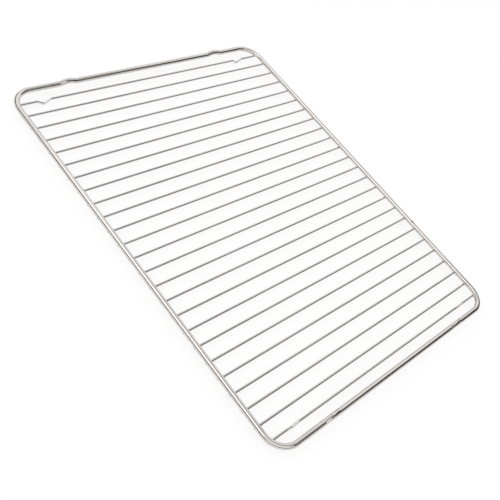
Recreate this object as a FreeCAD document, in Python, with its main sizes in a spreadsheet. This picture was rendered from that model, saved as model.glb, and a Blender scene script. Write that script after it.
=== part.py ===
import FreeCAD
import Part
import Sketcher
import math
import os

# Oven shelf rack: a bent outer frame of thick wire with thin wires welded across its underside.
# X runs along the long sides, Y across them and Z up. The origin lies under the middle of the rack,
# on the plane that the feet stand on. Lengths are in millimetres.

doc = FreeCAD.newDocument("oven_shelf_rack")

# Driving dimensions
SIZES = {
    "overall_length": 460.0,   # over the outside of the short sides
    "overall_width": 363.0,    # over the outside of the long sides
    "frame_wire": 5.8,         # diameter of the outer frame's wire
    "cross_wire": 2.5,         # diameter of the thin wires
    "corner_radius": 23.5,     # bend of the outer frame, at the middle of its wire
    "straight_wires": 23,      # number of straight wires between the two foot wires
    "end_margin": 14.6,        # from the middle of a short side to its foot wire
    "end_step": 16.7,          # from a foot wire to the straight wire beside it
    "weld_sink": 0.3,          # depth to which a weld sets a thin wire into the frame
    "wire_overrun": 0.5,       # how far a thin wire runs past the middle of the frame's wire
    "foot_reach": 144.5,       # from the middle of a foot wire to each of its feet
    "foot_drop": 4.3,          # depth of a foot below its wire
    "foot_half": 8.2,          # half the length of a foot along its wire
    "foot_bend": 2.5,          # bend radius at the bottom of a foot, at the middle of the wire
    "near_stop": 107.0,        # from the middle of a short side to its stop towards -Y
    "far_stop": 111.0,         # from the middle of a short side to its stop towards +Y
    "stop_rise": 2.2,          # height of a stop above the straight stretch beside it
    "stop_half": 10.5,         # half the length of a stop along the short side
    "stop_bend": 20.0,         # bend radius at the top of a stop, at the middle of the wire
}

sheet = doc.addObject("Spreadsheet::Sheet", "Sizes")
for row, (alias, size) in enumerate(SIZES.items(), start=1):
    sheet.set(f"A{row}", alias)
    sheet.set(f"B{row}", str(size))
    sheet.setAlias(f"B{row}", alias)
doc.recompute()

# Sizes that follow from the driving ones
HALF_LENGTH = "((Sizes.overall_length - Sizes.frame_wire) / 2)"
HALF_WIDTH = "((Sizes.overall_width - Sizes.frame_wire) / 2)"
WIRE_HEIGHT = "(Sizes.foot_drop + Sizes.cross_wire / 2)"
FRAME_HEIGHT = f"({WIRE_HEIGHT} + (Sizes.frame_wire + Sizes.cross_wire) / 2 - Sizes.weld_sink)"
STRAIGHT_END = f"({HALF_WIDTH} - Sizes.corner_radius)"
FOOT_WIRE_PLACE = f"({HALF_LENGTH} - Sizes.end_margin)"
FIRST_WIRE_PLACE = f"({FOOT_WIRE_PLACE} - Sizes.end_step)"
WIRE_STEP = f"(2 * {FIRST_WIRE_PLACE} / (Sizes.straight_wires - 1))"
WIRE_HALF = f"({HALF_WIDTH} + Sizes.wire_overrun)"
# A weld reaches as far along a thin wire as the frame's wire is wide at the depth of the weld.
WELD_HALF = "sqrt(Sizes.weld_sink * (Sizes.frame_wire - Sizes.weld_sink))"
# A foot wire meets the frame within its corner bends, where the frame has begun to turn in.
INTO_CORNER = "max(0; Sizes.corner_radius - Sizes.end_margin)"
CORNER_INSET = f"(Sizes.corner_radius - sqrt(Sizes.corner_radius ^ 2 - {INTO_CORNER} ^ 2))"
FOOT_WIRE_HALF = f"({WIRE_HALF} - {CORNER_INSET})"

# How a sketch numbers its origin, its axes and the points of a line or an arc
ORIGIN = (-1, 1)
LEVEL_AXIS, UPRIGHT_AXIS = range(-1, -3, -1)
START, END, CENTRE = range(1, 4)

NORMAL = FreeCAD.Vector(0, 0, 1)


def number(formula):
    """The present value of a formula on the sheet's sizes."""
    return float(sheet.evalExpression(formula))


def plane_of(body, role):
    return next(plane for plane in body.Origin.OriginFeatures if plane.Role == role)


def new_sketch(body, name, role, offset):
    """A sketch on one of the body's own planes, set off along the plane's normal by a formula."""
    sketch = body.newObject("Sketcher::SketchObject", name)
    sketch.AttachmentSupport = [(plane_of(body, role), "")]
    sketch.MapMode = "FlatFace"
    sketch.setExpression("AttachmentOffset.Base.z", offset)
    return sketch


def add_line(sketch, start, end):
    line = Part.LineSegment(FreeCAD.Vector(*start, 0), FreeCAD.Vector(*end, 0))
    return sketch.addGeometry(line)


def add_arc(sketch, centre, radius, first, last):
    circle = Part.Circle(FreeCAD.Vector(*centre, 0), NORMAL, radius)
    return sketch.addGeometry(Part.ArcOfCircle(circle, first, last))


def relate(sketch, kind, *items):
    sketch.addConstraint(Sketcher.Constraint(kind, *items))


def dimension(sketch, name, formula, kind, *items):
    """A named dimension of a sketch, tied to a formula."""
    index = sketch.addConstraint(Sketcher.Constraint(kind, *items, number(formula)))
    sketch.renameConstraint(index, name)
    sketch.setExpression(f"Constraints.{name}", formula)


def wire_section(body, diameter, across, along):
    """Round section of a wire, in a plane across Y: along sets it towards -Y, across towards -X."""
    sketch = new_sketch(body, f"{body.Name}_section", "XZ_Plane", along)
    centre = FreeCAD.Vector(-number(across), 0, 0)
    circle = sketch.addGeometry(Part.Circle(centre, NORMAL, number(diameter) / 2))
    relate(sketch, "PointOnObject", circle, CENTRE, LEVEL_AXIS)
    dimension(sketch, "across", across, "DistanceX", circle, CENTRE, *ORIGIN)
    dimension(sketch, "diameter", diameter, "Diameter", circle)
    return sketch


def cornered_path(body, name):
    """Middle line of the long side towards -Y, with the corner bend at each end of it."""
    sketch = new_sketch(body, name, "XY_Plane", "0")
    radius = number("Sizes.corner_radius")
    bend_x = number(HALF_LENGTH) - radius
    side_y = -number(HALF_WIDTH)
    left = add_arc(sketch, (-bend_x, side_y + radius), radius, math.pi, 1.5 * math.pi)
    side = add_line(sketch, (-bend_x, side_y), (bend_x, side_y))
    right = add_arc(sketch, (bend_x, side_y + radius), radius, 1.5 * math.pi, 2 * math.pi)
    relate(sketch, "Tangent", left, END, side, START)
    relate(sketch, "Tangent", side, END, right, START)
    relate(sketch, "Equal", left, right)
    relate(sketch, "Horizontal", left, START, left, CENTRE)
    relate(sketch, "Horizontal", right, CENTRE, right, END)
    relate(sketch, "Symmetric", left, CENTRE, right, CENTRE, UPRIGHT_AXIS)
    dimension(sketch, "radius", "Sizes.corner_radius", "Radius", left)
    dimension(sketch, "half_length", HALF_LENGTH, "DistanceX", left, START, *ORIGIN)
    dimension(sketch, "half_width", HALF_WIDTH, "DistanceY", side, START, *ORIGIN)
    return sketch


def kinked_path(body, name, offset, end, places, rise, half, bend):
    """Middle line of a wire along Y, with an upward kink at each of the given places.

    A kink is a straight flank, a round bend over the top and a straight flank down again.
    """
    sketch = new_sketch(body, name, "YZ_Plane", offset)
    radius = number(bend)
    reach = number(half)
    centre_z = number(rise) - radius
    # A flank is the line from the foot of the kink that touches the bend over its top.
    lean = math.atan2(centre_z, reach) + math.asin(radius / math.hypot(reach, centre_z))
    touch_y = radius * math.sin(lean)
    touch_z = centre_z + radius * math.cos(lean)

    run_start = -number(end)
    before = None
    runs = []
    for count, place in enumerate(places, start=1):
        middle = number(place)
        run = add_line(sketch, (run_start, 0), (middle - reach, 0))
        up = add_line(sketch, (middle - reach, 0), (middle - touch_y, touch_z))
        top = add_arc(sketch, (middle, centre_z), radius, math.pi / 2 - lean, math.pi / 2 + lean)
        down = add_line(sketch, (middle + touch_y, touch_z), (middle + reach, 0))
        if before is not None:
            relate(sketch, "Coincident", before, END, run, START)
        relate(sketch, "Coincident", run, END, up, START)
        relate(sketch, "Tangent", up, END, top, END)
        relate(sketch, "Tangent", top, START, down, START)
        relate(sketch, "PointOnObject", down, END, LEVEL_AXIS)
        dimension(sketch, f"place_{count}", place, "DistanceX", *ORIGIN, top, CENTRE)
        dimension(sketch, f"bend_{count}", bend, "Radius", top)
        dimension(sketch, f"centre_{count}", f"{rise} - {bend}", "DistanceY", *ORIGIN, top, CENTRE)
        dimension(sketch, f"up_{count}", half, "DistanceX", up, START, top, CENTRE)
        dimension(sketch, f"down_{count}", half, "DistanceX", top, CENTRE, down, END)
        run_start = middle + reach
        before = down
        runs.append(run)
    last = add_line(sketch, (run_start, 0), (number(end), 0))
    relate(sketch, "Coincident", before, END, last, START)
    runs.append(last)
    for run in runs:
        relate(sketch, "Horizontal", run)
    relate(sketch, "PointOnObject", runs[0], START, LEVEL_AXIS)
    dimension(sketch, "near_end", end, "DistanceX", runs[0], START, *ORIGIN)
    dimension(sketch, "far_end", end, "DistanceX", *ORIGIN, last, END)
    return sketch


def sweep(body, name, section, path):
    pipe = body.newObject("PartDesign::AdditivePipe", name)
    pipe.Profile = section
    pipe.Spine = (path, [f"Edge{edge}" for edge in range(1, path.GeometryCount + 1)])
    pipe.Transition = "Right corner"
    return pipe


def mirror(body, name, feature, role):
    """A mirrored copy of a feature, added to the body as it stands so far."""
    doc.recompute()
    copy = body.newObject("PartDesign::Mirrored", name)
    copy.Originals = [feature]
    copy.MirrorPlane = (plane_of(body, role), [""])
    body.Tip = copy


def set_place(item, x, y, z):
    for axis, formula in zip("xyz", (x, y, z)):
        item.setExpression(f"Placement.Base.{axis}", formula)


def outer_frame():
    """The closed frame: one long side and one short side, each mirrored to make its opposite."""
    body = doc.addObject("PartDesign::Body", "outer_frame")
    section = wire_section(body, "Sizes.frame_wire", HALF_LENGTH, STRAIGHT_END)
    side_path = cornered_path(body, "long_side_path")
    stops = ["-Sizes.near_stop", "Sizes.far_stop"]
    end_path = kinked_path(body, "short_side_path", f"-{HALF_LENGTH}", STRAIGHT_END, stops,
                           "Sizes.stop_rise", "Sizes.stop_half", "Sizes.stop_bend")
    long_side = sweep(body, "near_long_side", section, side_path)
    short_side = sweep(body, "left_short_side", section, end_path)
    mirror(body, "far_long_side", long_side, "XZ_Plane")
    mirror(body, "right_short_side", short_side, "YZ_Plane")
    set_place(body, "0", "0", FRAME_HEIGHT)
    return body


def flat_block(name, y):
    """A block under one long side, from the lowest line of the frame's wire upwards."""
    block = doc.addObject("Part::Box", name)
    block.setExpression("Length", f"2 * {HALF_LENGTH}")
    block.setExpression("Width", f"{WELD_HALF} + Sizes.frame_wire / 2")
    block.setExpression("Height", "Sizes.frame_wire / 2")
    set_place(block, f"-{HALF_LENGTH}", y, f"{FRAME_HEIGHT} - Sizes.frame_wire / 2")
    return block


def weld_flats():
    """What the welds take off a straight wire: a flat at each end, on which the frame rests."""
    flats = doc.addObject("Part::Compound", "weld_flats")
    flats.Links = [
        flat_block("near_flats", f"-{HALF_WIDTH} - Sizes.frame_wire / 2"),
        flat_block("far_flats", f"{HALF_WIDTH} - {WELD_HALF}"),
    ]
    return flats


def welded(wire, name, seat):
    """A thin wire as its welds leave it, with the seat taken out of its top at both ends."""
    cut = doc.addObject("Part::Cut", name)
    cut.Base = wire
    cut.Tool = seat
    return cut


def foot_wire(name, x, frame):
    """A thin wire with two V-shaped feet: drawn with its kinks up and turned over."""
    body = doc.addObject("PartDesign::Body", f"bent_{name}")
    body.Placement.Rotation = FreeCAD.Rotation(FreeCAD.Vector(0, 1, 0), 180)
    section = wire_section(body, "Sizes.cross_wire", "0", FOOT_WIRE_HALF)
    feet = ["-Sizes.foot_reach", "Sizes.foot_reach"]
    path = kinked_path(body, f"{name}_path", "0", FOOT_WIRE_HALF, feet,
                       "Sizes.foot_drop", "Sizes.foot_half", "Sizes.foot_bend")
    sweep(body, f"{name}_sweep", section, path)
    set_place(body, x, "0", WIRE_HEIGHT)
    return welded(body, name, frame)


def cross_wire(name, x, flats):
    """A straight thin wire from one long side to the other."""
    rod = doc.addObject("Part::Cylinder", f"rod_{name}")
    rod.Placement.Rotation = FreeCAD.Rotation(FreeCAD.Vector(1, 0, 0), -90)
    rod.setExpression("Radius", "Sizes.cross_wire / 2")
    rod.setExpression("Height", f"2 * {WIRE_HALF}")
    set_place(rod, x, f"-{WIRE_HALF}", WIRE_HEIGHT)
    return welded(rod, name, flats)


frame = outer_frame()
flats = weld_flats()
pieces = [frame]
pieces.append(foot_wire("foot_wire_left", f"-{FOOT_WIRE_PLACE}", frame))
for count in range(SIZES["straight_wires"]):
    across = f"{count} * {WIRE_STEP} - {FIRST_WIRE_PLACE}"
    pieces.append(cross_wire(f"cross_wire_{count + 1:02d}", across, flats))
pieces.append(foot_wire("foot_wire_right", FOOT_WIRE_PLACE, frame))
doc.recompute()

# Every object is sound, and every piece is one valid solid, before anything is written.
for item in doc.Objects:
    if "Invalid" in item.State or "Error" in item.State:
        raise RuntimeError(f"{item.Label} failed: {item.State}")
for piece in pieces:
    shape = piece.Shape
    if shape.isNull() or not shape.isValid() or len(shape.Solids) != 1:
        raise RuntimeError(f"{piece.Label} is not one valid solid")

os.makedirs("parts", exist_ok=True)
for piece in pieces:
    piece.Shape.exportStep(f"parts/{piece.Label}.step")
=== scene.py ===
import math

import bpy
import numpy as np
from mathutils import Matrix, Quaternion, Vector


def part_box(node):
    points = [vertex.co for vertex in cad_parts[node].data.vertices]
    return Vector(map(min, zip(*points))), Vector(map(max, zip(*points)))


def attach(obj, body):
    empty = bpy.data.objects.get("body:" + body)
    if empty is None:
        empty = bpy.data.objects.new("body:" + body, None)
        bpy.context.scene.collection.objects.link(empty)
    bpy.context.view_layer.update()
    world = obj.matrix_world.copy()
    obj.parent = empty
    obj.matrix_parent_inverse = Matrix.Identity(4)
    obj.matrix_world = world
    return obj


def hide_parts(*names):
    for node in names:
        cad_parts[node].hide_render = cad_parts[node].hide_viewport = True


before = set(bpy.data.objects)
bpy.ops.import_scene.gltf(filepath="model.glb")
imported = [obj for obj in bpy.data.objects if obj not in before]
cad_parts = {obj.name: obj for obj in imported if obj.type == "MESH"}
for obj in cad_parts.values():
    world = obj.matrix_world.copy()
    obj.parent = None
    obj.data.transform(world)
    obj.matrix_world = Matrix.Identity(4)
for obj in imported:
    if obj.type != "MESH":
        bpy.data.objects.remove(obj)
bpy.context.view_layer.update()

# Oven shelf rack: bright chromed wires on a white studio floor. Lengths are in metres.

MM = 0.001
scene = bpy.context.scene

# Sizes of the wires, as in the part's source. The rest is read from the boxes of its nodes.
FRAME_RADIUS = 2.9 * MM
CORNER_BEND = 23.5 * MM
STOP_PLACES = (-107 * MM, 111 * MM)
STOP_HALF = 10.5 * MM
STOP_BEND = 20.0 * MM
FOOT_PLACES = (-144.5 * MM, 144.5 * MM)
FOOT_HALF = 8.2 * MM
FOOT_BEND = 2.5 * MM
WIRE_OVERRUN = 0.5 * MM

# Small rounding that the solids leave out: where a stop or a foot leaves its straight wire, and at cut ends
STOP_FOOT_BEND = 3.0 * MM
FOOT_TOP_BEND = 1.5 * MM
END_BEVEL = 0.25 * MM

# A length too small to see
HAIR = 0.01 * MM

# How finely round things are drawn, and the turn from which an edge stays sharp
BEND_STEP = math.radians(4)
FRAME_SIDES = 48
WIRE_SIDES = 32
SHARP_EDGE = math.radians(40)


# Wires as meshes

def rounded(corners):
    """Points of a path through (corner, bend radius) pairs, with an arc in place of each corner."""
    points = []
    for index, (corner, radius) in enumerate(corners):
        if not radius:
            points.append(corner)
            continue
        back = (corners[index - 1][0] - corner).normalized()
        ahead = (corners[(index + 1) % len(corners)][0] - corner).normalized()
        turn = math.pi - back.angle(ahead)
        centre = corner + (back + ahead).normalized() * radius / math.cos(turn / 2)
        spoke = corner + back * radius * math.tan(turn / 2) - centre
        axis = ahead.cross(back)
        steps = max(2, math.ceil(turn / BEND_STEP))
        points += [centre + Quaternion(axis, turn * step / steps) @ spoke for step in range(steps + 1)]
    return points


def kink(place, half, rise, bend, foot_bend):
    """Corners of one kink as (way along the wire, height, bend radius): foot, top, foot."""
    lean = math.atan2(rise - bend, half) + math.asin(bend / math.hypot(half, rise - bend))
    top = half * math.tan(lean)
    return [(place - half, 0, foot_bend), (place, top, bend), (place + half, 0, foot_bend)]


def wire_shell(points, radii, sides, closed=False):
    """Corners, faces and map of a round wire along the points.

    The map has U round the wire, from underneath, and V along it in metres.
    """
    path = np.array([tuple(point) for point in points])
    count = len(path)
    steps = np.roll(path, -1, axis=0) - path
    lengths = np.linalg.norm(steps, axis=1)
    ways = steps / lengths[:, None]
    tangents = ways + np.roll(ways, 1, axis=0)
    if not closed:
        tangents[0] = ways[0]
        tangents[-1] = ways[-2]
    tangents /= np.linalg.norm(tangents, axis=1)[:, None]
    across = np.cross(tangents, (0, 0, 1))
    across /= np.linalg.norm(across, axis=1)[:, None]
    upward = np.cross(across, tangents)
    angles = (2 * np.pi * np.arange(sides) / sides - np.pi / 2)[None, :, None]
    spokes = np.cos(angles) * across[:, None] + np.sin(angles) * upward[:, None]
    rings = path[:, None] + np.broadcast_to(radii, count)[:, None, None] * spokes

    faces = []
    marks = []
    along = np.concatenate(([0], np.cumsum(lengths)))
    for ring in range(count if closed else count - 1):
        here = ring * sides
        there = (ring + 1) % count * sides
        start, end = along[ring], along[ring + 1]
        for side in range(sides):
            beside = (side + 1) % sides
            low, high = side / sides, (side + 1) / sides
            faces.append((here + side, there + side, there + beside, here + beside))
            marks += [(low, start), (low, end), (high, end), (high, start)]
    if not closed:
        last = (count - 1) * sides
        faces.append(tuple(range(sides)))
        faces.append(tuple(reversed(range(last, last + sides))))
        marks += [(side / sides, 0) for side in range(sides)]
        marks += [(side / sides, along[-2]) for side in reversed(range(sides))]

    return rings.reshape(-1, 3), faces, marks


def shell_mesh(name, shells):
    """One mesh of all the given shells."""
    corners = np.concatenate([shell[0] for shell in shells])
    faces = []
    marks = []
    first = 0
    for shell_corners, shell_faces, shell_marks in shells:
        faces += [tuple(first + corner for corner in face) for face in shell_faces]
        marks += shell_marks
        first += len(shell_corners)
    mesh = bpy.data.meshes.new(name)
    mesh.from_pydata(corners.tolist(), [], faces)
    layer = mesh.uv_layers.new(name="wire")
    layer.data.foreach_set("uv", np.array(marks, dtype=np.float32).ravel())
    mesh.shade_smooth()
    mesh.set_sharp_from_angle(angle=SHARP_EDGE)
    return mesh


def add_piece(name, mesh, material, *nodes):
    """A visible piece of the rack, in place of the given nodes if there are any."""
    piece = bpy.data.objects.new(name, mesh)
    scene.collection.objects.link(piece)
    piece.data.materials.append(material)
    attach(piece, "root")
    if nodes:
        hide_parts(*nodes)


# Materials

# The fine lines that drawing left in the wire: how many follow one another in a metre, and their relief
LINES_ALONG = 25
LINE_DEPTH = 0.02 * MM
LINE_STRENGTH = 0.15


def new_material(name):
    """A new material and its shader."""
    material = bpy.data.materials.new(name)
    material.use_nodes = True
    return material, material.node_tree.nodes["Principled BSDF"]


def add_node(nodes, kind, values):
    """A shader node of a kind, with values for some of its sockets."""
    node = nodes.new(kind)
    for socket, value in values.items():
        node.inputs[socket].default_value = value
    return node


def chrome(name, dark, light, edge, smooth, rough, lines_round, tone_and_shade_patches, shift=(0, 0, 0)):
    """Bright chrome over drawn wire, with patches in its tone and fine lines along the wire in its gloss.

    The tone lies between dark and light, with the tint called edge where the wire is seen at a slant.
    The roughness lies between smooth and rough, in so many lines round the wire. The patches are counted
    for each metre along X, Y and Z, and shift moves them. Small patches are tone that differs at random;
    large ones are painted shade as well, standing for shade that the wire reflects.
    """
    material, shader = new_material(name)
    nodes = material.node_tree.nodes
    links = material.node_tree.links
    shader.inputs["Metallic"].default_value = 1.0
    shader.inputs["Specular Tint"].default_value = (*edge, 1)
    place = nodes.new("ShaderNodeTexCoord")

    stretch = add_node(nodes, "ShaderNodeMapping", {"Scale": (lines_round, LINES_ALONG, 1)})
    links.new(place.outputs["UV"], stretch.inputs["Vector"])
    lines = add_node(nodes, "ShaderNodeTexNoise", {"Scale": 1.0, "Detail": 4.0})
    links.new(stretch.outputs["Vector"], lines.inputs["Vector"])

    # Patches in the tone: tone that differs at random, and painted shade where they are large
    spread = add_node(nodes, "ShaderNodeMapping", {"Location": shift, "Scale": tone_and_shade_patches})
    links.new(place.outputs["Object"], spread.inputs["Vector"])
    tone_and_shade_cloud = add_node(nodes, "ShaderNodeTexNoise", {"Scale": 1.0, "Detail": 5.0, "Roughness": 0.65})
    links.new(spread.outputs["Vector"], tone_and_shade_cloud.inputs["Vector"])

    tone = nodes.new("ShaderNodeMix")
    tone.data_type = "RGBA"
    tone.inputs["A"].default_value = (*dark, 1)
    tone.inputs["B"].default_value = (*light, 1)
    links.new(tone_and_shade_cloud.outputs["Fac"], tone.inputs["Factor"])
    links.new(tone.outputs["Result"], shader.inputs["Base Color"])

    gloss = add_node(nodes, "ShaderNodeMapRange",
                     {"From Min": 0.3, "From Max": 0.7, "To Min": smooth, "To Max": rough})
    links.new(lines.outputs["Fac"], gloss.inputs["Value"])
    links.new(gloss.outputs["Result"], shader.inputs["Roughness"])

    bump = add_node(nodes, "ShaderNodeBump", {"Strength": LINE_STRENGTH, "Distance": LINE_DEPTH})
    links.new(lines.outputs["Fac"], bump.inputs["Height"])
    links.new(bump.outputs["Normal"], shader.inputs["Normal"])
    return material


frame_chrome = chrome(
    "frame_chrome", dark=(0.685, 0.655, 0.63), light=(0.775, 0.75, 0.725), edge=(0.55, 0.53, 0.51),
    smooth=0.12, rough=0.22, lines_round=40, tone_and_shade_patches=(40, 40, 40))
# The thin wires' large patches are painted shade: the darker wires, set in place by the shift, stand for
# shade that they reflect. They are also tone that differs at random.
wire_chrome = chrome(
    "wire_chrome", dark=(0.41, 0.398, 0.385), light=(0.87, 0.853, 0.835), edge=(0.78, 0.765, 0.75),
    smooth=0.08, rough=0.18, lines_round=24, tone_and_shade_patches=(2.5, 1.2, 1.2), shift=(21.4, 9.6, 0))
weld_chrome = chrome(
    "weld_chrome", dark=(0.30, 0.285, 0.27), light=(0.52, 0.50, 0.48), edge=(0.55, 0.53, 0.51),
    smooth=0.20, rough=0.42, lines_round=12, tone_and_shade_patches=(300, 300, 300))


# The outer frame

# The dull spot where the frame's wire was welded shut, on the long side towards +Y: its place along X, its
# place round the wire in shares of a turn from underneath, and half its size round and along the wire
BUTT_WELD = 100 * MM
SPOT_SIDE = 0.47
SPOT_ROUND = 0.10
SPOT_ALONG = 2.2 * MM
# How far out the spot begins and is full, in half sizes
SPOT_RIM = 1.2
SPOT_CORE = 0.6
SPOT_TONE = (0.12, 0.10, 0.09, 1)
SPOT_ROUGHNESS = 0.45


def mark_weld(material, along):
    """Dull the chrome in one spot on top of the frame, where its butt weld was dressed."""
    nodes = material.node_tree.nodes
    links = material.node_tree.links
    shader = nodes["Principled BSDF"]
    place = nodes.new("ShaderNodeTexCoord")
    shift = add_node(nodes, "ShaderNodeMapping", {
        "Location": (-SPOT_SIDE / SPOT_ROUND, -along / SPOT_ALONG, 0),
        "Scale": (1 / SPOT_ROUND, 1 / SPOT_ALONG, 0),
    })
    links.new(place.outputs["UV"], shift.inputs["Vector"])
    away = nodes.new("ShaderNodeVectorMath")
    away.operation = "LENGTH"
    links.new(shift.outputs["Vector"], away.inputs[0])
    spot = add_node(nodes, "ShaderNodeMapRange", {"From Min": SPOT_RIM, "From Max": SPOT_CORE})
    links.new(away.outputs["Value"], spot.inputs["Value"])
    for socket, kind, dull in (("Base Color", "RGBA", SPOT_TONE), ("Roughness", "FLOAT", SPOT_ROUGHNESS)):
        mix = nodes.new("ShaderNodeMix")
        mix.data_type = kind
        mix.inputs["B"].default_value = dull
        links.new(spot.outputs["Result"], mix.inputs["Factor"])
        links.new(shader.inputs[socket].links[0].from_socket, mix.inputs["A"])
        links.new(mix.outputs["Result"], shader.inputs[socket])


def frame_path(half_length, half_width, height, rise):
    """Middle line of the outer frame, with two stops on each short side."""
    stops = []
    for place in STOP_PLACES:
        stops += kink(place, STOP_HALF, rise, STOP_BEND, STOP_FOOT_BEND)
    corners = []
    for end in (1, -1):
        x = end * half_length
        corners.append((Vector((x, -end * half_width, height)), CORNER_BEND))
        # The second short side is gone along the other way
        for y, up, bend in stops[::end]:
            corners.append((Vector((x, y, height + up)), bend))
        corners.append((Vector((x, end * half_width, height)), CORNER_BEND))
    return rounded(corners)


frame_low, frame_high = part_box("outer_frame")
half_length = frame_high.x - FRAME_RADIUS
half_width = frame_high.y - FRAME_RADIUS
frame_height = frame_low.z + FRAME_RADIUS
stop_rise = frame_high.z - frame_low.z - 2 * FRAME_RADIUS - HAIR
loop = frame_path(half_length, half_width, frame_height, stop_rise)
far_side = next(index for index, point in enumerate(loop) if point.y > half_width - HAIR)
way_there = sum((ahead - point).length for point, ahead in zip(loop[:far_side], loop[1:]))
mark_weld(frame_chrome, way_there + loop[far_side].x - BUTT_WELD)
frame_mesh = shell_mesh("frame_wire", [wire_shell(loop, FRAME_RADIUS, FRAME_SIDES, closed=True)])
add_piece("frame_wire", frame_mesh, frame_chrome, "outer_frame")


# The thin wires

def thin_wire(node):
    """A thin wire in the place of its node.

    Its ends are bevelled, and each has a flat on top, where the frame is welded to it.
    """
    low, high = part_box(node)
    radius = (high.x - low.x) / 2
    x = (low.x + high.x) / 2
    height = high.z - radius
    drop = height - radius - low.z
    end = high.y
    sink = high.z - frame_low.z
    weld_half = math.sqrt(sink * (2 * FRAME_RADIUS - sink))
    flat = end - WIRE_OVERRUN - weld_half
    ways = (end, end - END_BEVEL, flat + HAIR, flat - HAIR)
    corners = [(-way, 0, 0) for way in ways]
    # Only a wire with feet reaches below its straight part
    if drop > radius:
        for place in FOOT_PLACES:
            corners += kink(place, FOOT_HALF, drop, FOOT_BEND, FOOT_TOP_BEND)
    corners += [(way, 0, 0) for way in reversed(ways)]
    path = rounded([(Vector((x, way, height - down)), bend) for way, down, bend in corners])
    radii = np.full(len(path), radius)
    radii[[0, -1]] -= END_BEVEL
    shell = wire_shell(path, radii, WIRE_SIDES)
    points = shell[0]
    welded = np.abs(points[:, 1]) > flat
    points[welded, 2] = np.minimum(points[welded, 2], frame_low.z)
    return shell_mesh(node + "_wire", [shell])


thin_wires = [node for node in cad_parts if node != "outer_frame"]
for node in thin_wires:
    add_piece(node + "_wire", thin_wire(node), wire_chrome, node)


# Metal squeezed out round the welds: a small uneven ring between each thin wire and the frame

# Half the size of a ring across and along the thin wire, and the radius of its bead
FLASH_ACROSS = 1.0 * MM
FLASH_ALONG = 1.95 * MM
FLASH_RADIUS = 0.30 * MM
# How far a ring dips beside the thin wire and rises beside the frame, and how high its middle lies
FLASH_SAG = 0.22 * MM
FLASH_LIFT = 0.12 * MM
# The waves round a ring, how much each can swell the bead, and how much of that widens the ring too
FLASH_WAVES = (1, 2, 3, 5)
FLASH_SWELL = 0.13
FLASH_SPREAD = 0.08
FLASH_STEPS = 24
FLASH_SIDES = 10
FLASH_SEED = 5
chance = np.random.RandomState(FLASH_SEED)


def flash_ring(x, y, height):
    """Shell of one ring of weld metal, thicker and thinner by chance."""
    turns = 2 * np.pi * np.arange(FLASH_STEPS) / FLASH_STEPS
    swell = np.ones(FLASH_STEPS)
    for wave in FLASH_WAVES:
        share = chance.uniform(-1, 1)
        start = chance.uniform(0, 2 * np.pi)
        swell += FLASH_SWELL * share * np.cos(wave * turns + start)
    spread = 1 + FLASH_SPREAD * (swell - 1)
    points = np.stack([
        x + FLASH_ACROSS * spread * np.cos(turns),
        y + FLASH_ALONG * spread * np.sin(turns),
        height - FLASH_SAG * np.cos(2 * turns),
    ], axis=1)
    return wire_shell(points, FLASH_RADIUS * swell, FLASH_SIDES, closed=True)


for side, name in ((-1, "weld_flash_near"), (1, "weld_flash_far")):
    rings = []
    for node in thin_wires:
        low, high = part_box(node)
        x = (low.x + high.x) / 2
        y = side * (high.y - WIRE_OVERRUN)
        rings.append(flash_ring(x, y, frame_low.z + FLASH_LIFT))
    add_piece(name, shell_mesh(name, rings), weld_chrome)


# Camera, as the photograph was taken

CAMERA_PLACE = Vector((0.2574, -0.5297, 0.5360))
CAMERA_AIM = Vector((0.0435, -0.0551, 0.0094))
CAMERA_ROLL = math.radians(33.04)
CAMERA_NEAREST = 0.01
# Lens and sensor in millimetres, as a camera has them
CAMERA_LENS = 51.485
CAMERA_SENSOR = 36.0

camera_data = bpy.data.cameras.new("camera")
camera_data.lens = CAMERA_LENS
camera_data.sensor_width = CAMERA_SENSOR
camera_data.clip_start = CAMERA_NEAREST
camera = bpy.data.objects.new("camera", camera_data)
camera.location = CAMERA_PLACE
level = (CAMERA_AIM - CAMERA_PLACE).to_track_quat("-Z", "Y")
camera.rotation_mode = "QUATERNION"
camera.rotation_quaternion = level @ Quaternion((0, 0, 1), CAMERA_ROLL)
scene.collection.objects.link(camera)
scene.camera = camera


# Studio floor

WHITE = (1, 1, 1, 1)
FLOOR_HALF = 6.0
# How much of the floor's white is its own glow. The rest is paper, which takes the shadow.
FLOOR_GLOW = 0.75


def add_stage(name, corners, faces, material):
    """A thing of the studio, which is no part of the rack."""
    mesh = bpy.data.meshes.new(name)
    mesh.from_pydata(corners, [], faces)
    mesh.materials.append(material)
    item = bpy.data.objects.new(name, mesh)
    scene.collection.objects.link(item)
    return item


def seen_rays(tree):
    """1 for a ray from the camera, straight or by way of metal or glass, and 0 for any other."""
    rays = tree.nodes.new("ShaderNodeLightPath")
    seen = rays.outputs["Is Camera Ray"]
    for kind in ("Is Glossy Ray", "Is Transmission Ray"):
        either = tree.nodes.new("ShaderNodeMath")
        either.operation = "MAXIMUM"
        tree.links.new(seen, either.inputs[0])
        tree.links.new(rays.outputs[kind], either.inputs[1])
        seen = either.outputs[0]
    return seen


def white_floor():
    """A floor that the camera and the chrome see as white, with the faint shadow of the rack on it."""
    material, shader = new_material("white_floor")
    nodes = material.node_tree.nodes
    links = material.node_tree.links
    nodes.remove(shader)
    paper = add_node(nodes, "ShaderNodeBsdfDiffuse", {"Color": WHITE})
    glow = add_node(nodes, "ShaderNodeEmission", {"Color": WHITE, "Strength": 1.0})
    share = add_node(nodes, "ShaderNodeMath", {1: FLOOR_GLOW})
    share.operation = "MULTIPLY"
    links.new(seen_rays(material.node_tree), share.inputs[0])
    mix = nodes.new("ShaderNodeMixShader")
    links.new(share.outputs[0], mix.inputs["Fac"])
    links.new(paper.outputs[0], mix.inputs[1])
    links.new(glow.outputs[0], mix.inputs[2])
    links.new(mix.outputs[0], nodes["Material Output"].inputs["Surface"])
    return material


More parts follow.
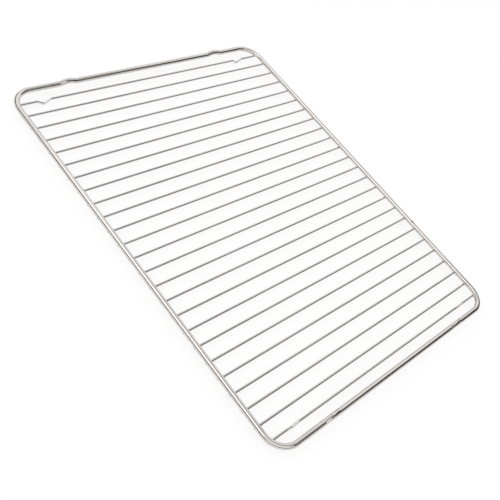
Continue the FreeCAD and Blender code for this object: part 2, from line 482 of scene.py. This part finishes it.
floor_corners = [(-FLOOR_HALF, -FLOOR_HALF, 0), (FLOOR_HALF, -FLOOR_HALF, 0),
                 (FLOOR_HALF, FLOOR_HALF, 0), (-FLOOR_HALF, FLOOR_HALF, 0)]
add_stage("floor", floor_corners, [(0, 1, 2, 3)], white_floor())


# Flags: cloths round the rack, darker than the studio, which give the chrome its dark lines

FLAG_RADIUS = 2.5
FLAG_STEPS = 24
BLACK = (0.0, 0.0, 0.0)
CHARCOAL = (0.04, 0.038, 0.036)
SOOT = (0.05, 0.045, 0.04)
SLATE = (0.06, 0.055, 0.05)
BROWN = (0.105, 0.088, 0.076)
PALE_GREY = (0.46, 0.45, 0.44)


def flag_cloth(name, tone):
    """Cloth of one tone, lit as evenly as the studio round it."""
    material, shader = new_material(name)
    shader.inputs["Base Color"].default_value = (*BLACK, 1)
    shader.inputs["Roughness"].default_value = 1.0
    shader.inputs["Specular IOR Level"].default_value = 0.0
    shader.inputs["Emission Color"].default_value = (*tone, 1)
    shader.inputs["Emission Strength"].default_value = 1.0
    return material


def on_the_right(along, over, up):
    """Round the Y axis, with angles from straight up towards +X."""
    return over, along, up


def in_front(along, over, up):
    """Round the X axis, with angles from straight up towards -Y."""
    return along, -over, up


def behind(along, over, up):
    """Round the X axis, with angles from straight up towards +Y."""
    return along, over, up


def upright(along, over, up):
    """Round the Z axis, with angles from +X towards +Y."""
    return up, over, along


def add_flag(name, hung, reach, angles, tone):
    """A cloth bent round an axis, seen only in what the chrome reflects.

    It is hung in one of the four ways above, and takes its reach along the axis in metres and the angles
    between which it goes round in degrees.
    """
    first, last = angles
    corners = []
    for step in range(FLAG_STEPS + 1):
        angle = math.radians(first + (last - first) * step / FLAG_STEPS)
        for along in reach:
            corners.append(hung(along, FLAG_RADIUS * math.sin(angle), FLAG_RADIUS * math.cos(angle)))
    faces = [(2 * step, 2 * step + 1, 2 * step + 3, 2 * step + 2) for step in range(FLAG_STEPS)]
    item = add_stage(name, corners, faces, flag_cloth(name, tone))
    item.visible_camera = False
    item.visible_diffuse = False
    item.visible_shadow = False


add_flag("flag_right", on_the_right, reach=(2.1, 4.5), angles=(10, 90), tone=BROWN)
add_flag("flag_right_rear", on_the_right, reach=(0.75, 2.1), angles=(10, 78), tone=BROWN)
add_flag("flag_front", in_front, reach=(-3.0, 1.0), angles=(66, 90), tone=BLACK)
add_flag("flag_front_mid", in_front, reach=(-0.35, 0.5), angles=(57, 66), tone=CHARCOAL)
add_flag("flag_back", behind, reach=(-1.2, 1.2), angles=(-2, 36), tone=PALE_GREY)
add_flag("flag_corner", upright, reach=(0, 0.8), angles=(-75, 16), tone=SOOT)
add_flag("flag_left", upright, reach=(0, 0.9), angles=(172, 222), tone=SOOT)
add_flag("flag_far", upright, reach=(0, 1.95), angles=(58, 92), tone=SLATE)
add_flag("flag_front_left", in_front, reach=(-3.0, -1.15), angles=(57, 68), tone=CHARCOAL)


# Light

# Level of the sky as a light, and as it is seen
SKY_LIGHT = 0.95
SKY_SEEN = 1.0
SOFTBOX_PLACE = Vector((-0.33, -0.90, 1.1475))
SOFTBOX_WIDTH = 1.2
SOFTBOX_HEIGHT = 0.80
SOFTBOX_POWER = 3.1

world = bpy.data.worlds.new("studio")
world.use_nodes = True
sky = world.node_tree.nodes["Background"]
sky.inputs["Color"].default_value = WHITE
sky_level = add_node(world.node_tree.nodes, "ShaderNodeMapRange", {"To Min": SKY_LIGHT, "To Max": SKY_SEEN})
world.node_tree.links.new(seen_rays(world.node_tree), sky_level.inputs["Value"])
world.node_tree.links.new(sky_level.outputs["Result"], sky.inputs["Strength"])
scene.world = world

softbox_data = bpy.data.lights.new("softbox", "AREA")
softbox_data.shape = "RECTANGLE"
softbox_data.size = SOFTBOX_WIDTH
softbox_data.size_y = SOFTBOX_HEIGHT
softbox_data.energy = SOFTBOX_POWER
softbox = bpy.data.objects.new("softbox", softbox_data)
softbox.location = SOFTBOX_PLACE
softbox.rotation_mode = "QUATERNION"
softbox.rotation_quaternion = SOFTBOX_PLACE.to_track_quat("Z", "Y")
scene.collection.objects.link(softbox)

scene.view_settings.view_transform = "Standard"
